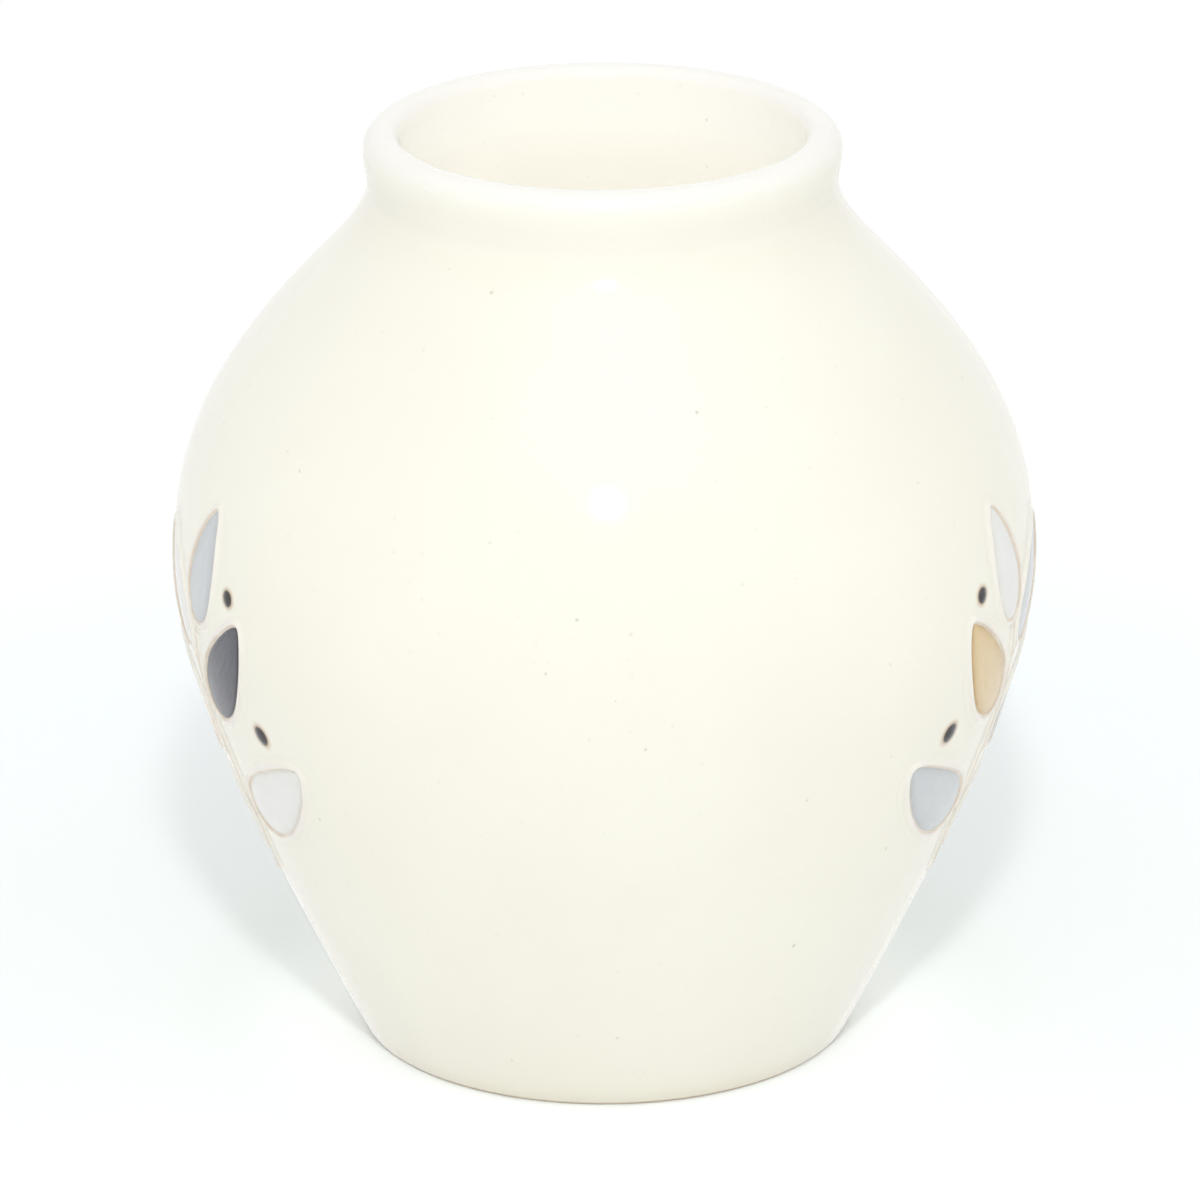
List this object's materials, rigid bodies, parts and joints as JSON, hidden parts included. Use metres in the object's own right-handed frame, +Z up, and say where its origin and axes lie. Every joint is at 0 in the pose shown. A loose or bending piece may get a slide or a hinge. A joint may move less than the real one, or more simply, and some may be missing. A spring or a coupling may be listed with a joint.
{
  "type": "pottery vase",
  "caption": "Small glazed pottery vase with a rounded lip, short neck and wide belly on a bare foot ring, decorated with raised leaf sprays; holds cut stems.",
  "frame": {"origin": "middle of the foot's resting plane", "axes": "+Z up along the axis of the vase, front towards -Y"},
  "size_m": [0.0934, 0.0936, 0.102],
  "materials": {
    "clay": "bare fired clay, matt",
    "cream_glaze": "glossy cream glaze with fine dark specks",
    "slip_line": "raised cream slip with tan edges under clear glaze",
    "dark_glaze": "glossy charcoal glaze",
    "grey_glaze": "glossy pale grey glaze",
    "white_glaze": "glossy grey-white glaze",
    "amber_glaze": "glossy amber glaze",
    "dark_slip": "raised near-black slip under clear glaze"
  },
  "bodies": {
    "root": {"clay_body": "clay", "outer_glaze": "cream_glaze", "inner_glaze": "cream_glaze", "base_glaze": "cream_glaze", "left_spray_outline": "slip_line", "left_spray_dark_leaves": "dark_glaze", "left_spray_grey_leaves": "grey_glaze", "left_spray_white_leaves": "white_glaze", "left_spray_amber_leaves": "amber_glaze", "left_spray_dots": "dark_slip", "right_spray_outline": "slip_line", "right_spray_dark_leaves": "dark_glaze", "right_spray_grey_leaves": "grey_glaze", "right_spray_white_leaves": "white_glaze", "right_spray_amber_leaves": "amber_glaze", "right_spray_dots": "dark_slip", "back_spray_outline": "slip_line", "back_spray_dark_leaves": "dark_glaze", "back_spray_grey_leaves": "grey_glaze", "back_spray_white_leaves": "white_glaze", "back_spray_amber_leaves": "amber_glaze", "back_spray_dots": "dark_slip"}
  },
  "joints": []
}
